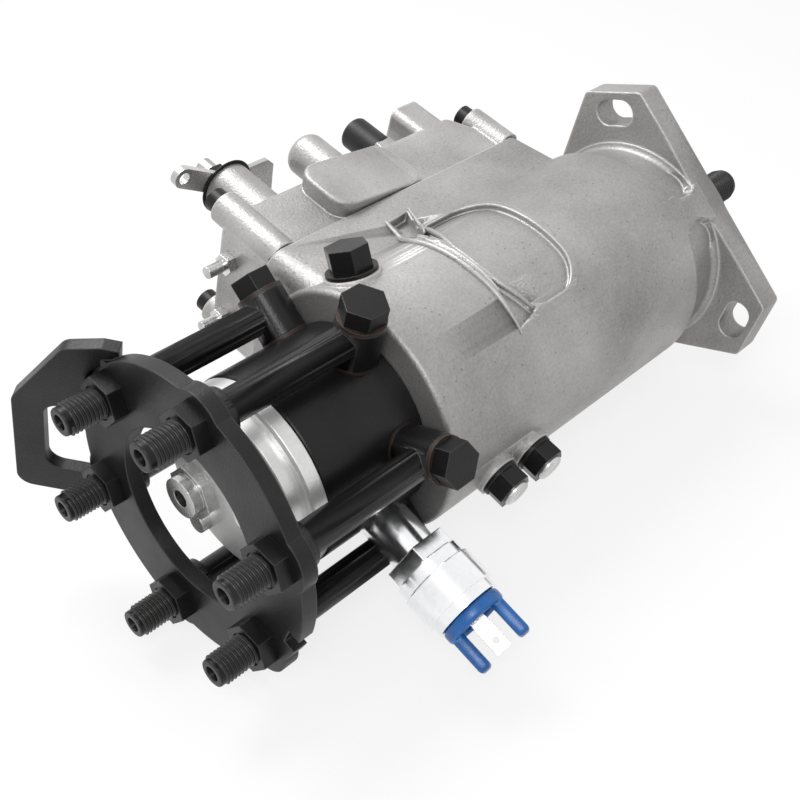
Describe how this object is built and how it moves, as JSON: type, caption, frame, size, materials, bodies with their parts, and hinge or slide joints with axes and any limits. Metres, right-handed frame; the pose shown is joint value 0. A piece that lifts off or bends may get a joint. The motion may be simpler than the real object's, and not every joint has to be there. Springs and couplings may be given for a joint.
{
  "type": "diesel injection pump",
  "caption": "Rotary distributor injection pump with a three-lobed flange, governor cover, hydraulic head, axial outlet pipes in a ring plate and a stop solenoid.",
  "frame": {"origin": "centre of the pilot spigot at the flange's mounting face, on the shaft axis", "axes": "+X along the drive shaft towards the engine; the pump lies on its side as on a bench, so its governor cover points along +Y and 15 degrees up"},
  "size_m": [0.3586, 0.219, 0.1342],
  "materials": {
    "cast_alloy": "sand-cast grey, machined faces",
    "black_steel": "black phosphate, satin",
    "bright_steel": "zinc-plated or ground",
    "bare_alloy": "machined bright",
    "hard_steel": "ground and hardened",
    "bronze": "plain bearing bronze",
    "copper": "soft copper sealing washer",
    "seal_rubber": "oil-proof rubber",
    "gasket_sheet": "dark fibre sheet",
    "blue_plastic": "moulded blue",
    "black_plastic": "moulded black",
    "zinc_bright": "bright zinc plate"
  },
  "bodies": {
    "housing": {"pump_housing": "cast_alloy", "governor_cover": "cast_alloy", "cover_gasket": "gasket_sheet", "cover_screws": "bright_steel", "stop_screws": "bright_steel", "return_union": "bright_steel", "dust_cap": "black_plastic", "hydraulic_head": "black_steel", "head_seal": "seal_rubber", "head_bolts": "black_steel", "bolt_washers": "bright_steel", "side_plugs": "black_steel", "banjo_bolts": "black_steel", "banjo_washers": "copper", "pipe_locknuts": "black_steel", "pipe_clamp_plate": "black_steel", "cam_ring": "hard_steel", "pump_liner": "hard_steel", "end_plate": "bare_alloy", "end_plate_screws": "bright_steel", "inlet_union": "bright_steel", "regulating_valve_body": "bright_steel", "drive_bush": "bronze", "shaft_seal": "seal_rubber", "solenoid_body": "zinc_bright", "solenoid_clip": "blue_plastic", "spade_terminal": "bright_steel", "outlet_pipe_1": "black_steel", "outlet_pipe_2": "black_steel", "outlet_pipe_3": "black_steel", "outlet_pipe_4": "black_steel", "outlet_pipe_5": "black_steel", "outlet_pipe_6": "black_steel"},
    "drive_line": {"drive_shaft": "hard_steel", "shaft_key": "hard_steel", "rotor": "hard_steel", "transfer_rotor": "hard_steel", "weight_carrier": "hard_steel"},
    "sleeve": {"thrust_sleeve": "hard_steel"},
    "arm": {"governor_arm": "hard_steel"},
    "link": {"governor_link": "bright_steel"},
    "meter": {"metering_valve": "hard_steel"},
    "throttle": {"throttle_shaft": "bright_steel", "throttle_lever": "bright_steel", "throttle_nut": "black_steel"},
    "stop_core": {"solenoid_plunger": "hard_steel"},
    "regulator": {"regulating_piston": "hard_steel"},
    "pumping_1": {"plunger_1": "hard_steel", "cam_shoe_1": "hard_steel", "cam_roller_1": "hard_steel"},
    "blade_1": {"vane_1": "hard_steel"},
    "pumping_2": {"plunger_2": "hard_steel", "cam_shoe_2": "hard_steel", "cam_roller_2": "hard_steel"},
    "blade_2": {"vane_2": "hard_steel"},
    "weight_1": {"governor_weight_1": "hard_steel"},
    "weight_2": {"governor_weight_2": "hard_steel"},
    "weight_3": {"governor_weight_3": "hard_steel"},
    "weight_4": {"governor_weight_4": "hard_steel"}
  },
  "joints": [
    {"name": "shaft_spin", "type": "hinge", "parent": "housing", "child": "drive_line", "pos_m": [0, 0, 0], "axis": [1, 0, 0], "continuous": true},
    {"name": "plunger_1_stroke", "type": "slide", "parent": "drive_line", "child": "pumping_1", "axis": [0, 0.965, 0.2622], "range_m": [0, 0.0018]},
    {"name": "plunger_2_stroke", "type": "slide", "parent": "drive_line", "child": "pumping_2", "axis": [0, -0.965, -0.2622], "range_m": [0, 0.0018]},
    {"name": "vane_1_slide", "type": "slide", "parent": "drive_line", "child": "blade_1", "axis": [0, 0.965, 0.2622], "range_m": [0, 0.0008]},
    {"name": "vane_2_slide", "type": "slide", "parent": "drive_line", "child": "blade_2", "axis": [0, -0.965, -0.2622], "range_m": [0, 0.0008]},
    {"name": "sleeve_travel", "type": "slide", "parent": "drive_line", "child": "sleeve", "axis": [1, 0, 0], "range_m": [0, 0.0035]},
    {"name": "weight_1_swing", "type": "hinge", "parent": "drive_line", "child": "weight_1", "pos_m": [-0.1117, 0.01541, 0.0269], "axis": [0, -0.8678, 0.497], "range_deg": [0, 12]},
    {"name": "weight_2_swing", "type": "hinge", "parent": "drive_line", "child": "weight_2", "pos_m": [-0.1117, -0.0269, 0.01541], "axis": [0, -0.497, -0.8678], "range_deg": [0, 12]},
    {"name": "weight_3_swing", "type": "hinge", "parent": "drive_line", "child": "weight_3", "pos_m": [-0.1117, -0.01541, -0.0269], "axis": [0, 0.8678, -0.497], "range_deg": [0, 12]},
    {"name": "weight_4_swing", "type": "hinge", "parent": "drive_line", "child": "weight_4", "pos_m": [-0.1117, 0.0269, -0.01541], "axis": [0, 0.497, 0.8678], "range_deg": [0, 12]},
    {"name": "arm_tilt", "type": "hinge", "parent": "housing", "child": "arm", "pos_m": [-0.0581, 0.03667, 0.00996], "axis": [0, -0.2622, 0.965], "range_deg": [0, 5.28]},
    {"name": "link_travel", "type": "slide", "parent": "housing", "child": "link", "axis": [-1, 0, 0], "range_m": [0, 0.00184]},
    {"name": "meter_turn", "type": "hinge", "parent": "housing", "child": "meter", "pos_m": [-0.172, 0.04343, 0.0118], "axis": [0, 0.965, 0.2622], "range_deg": [0, 17.59]},
    {"name": "throttle_turn", "type": "hinge", "parent": "housing", "child": "throttle", "pos_m": [-0.16, 0.10375, 0.04684], "axis": [0, 0.965, 0.2622], "range_deg": [-15, 40]},
    {"name": "stop_core_stroke", "type": "slide", "parent": "housing", "child": "stop_core", "axis": [0, -0.9259, -0.3778], "range_m": [0, 0.0015]},
    {"name": "regulator_travel", "type": "slide", "parent": "housing", "child": "regulator", "axis": [-1, 0, 0], "range_m": [0, 0.003]}
  ],
  "couplings": [
    {"joint": "plunger_2_stroke", "follows": "plunger_1_stroke", "ratio": 1},
    {"joint": "weight_1_swing", "follows": "sleeve_travel", "rad_per_m": 59.84},
    {"joint": "weight_2_swing", "follows": "sleeve_travel", "rad_per_m": 59.84},
    {"joint": "weight_3_swing", "follows": "sleeve_travel", "rad_per_m": 59.84},
    {"joint": "weight_4_swing", "follows": "sleeve_travel", "rad_per_m": 59.84},
    {"joint": "arm_tilt", "follows": "sleeve_travel", "rad_per_m": 26.316},
    {"joint": "link_travel", "follows": "sleeve_travel", "ratio": 0.52632},
    {"joint": "meter_turn", "follows": "sleeve_travel", "rad_per_m": 87.719}
  ]
}
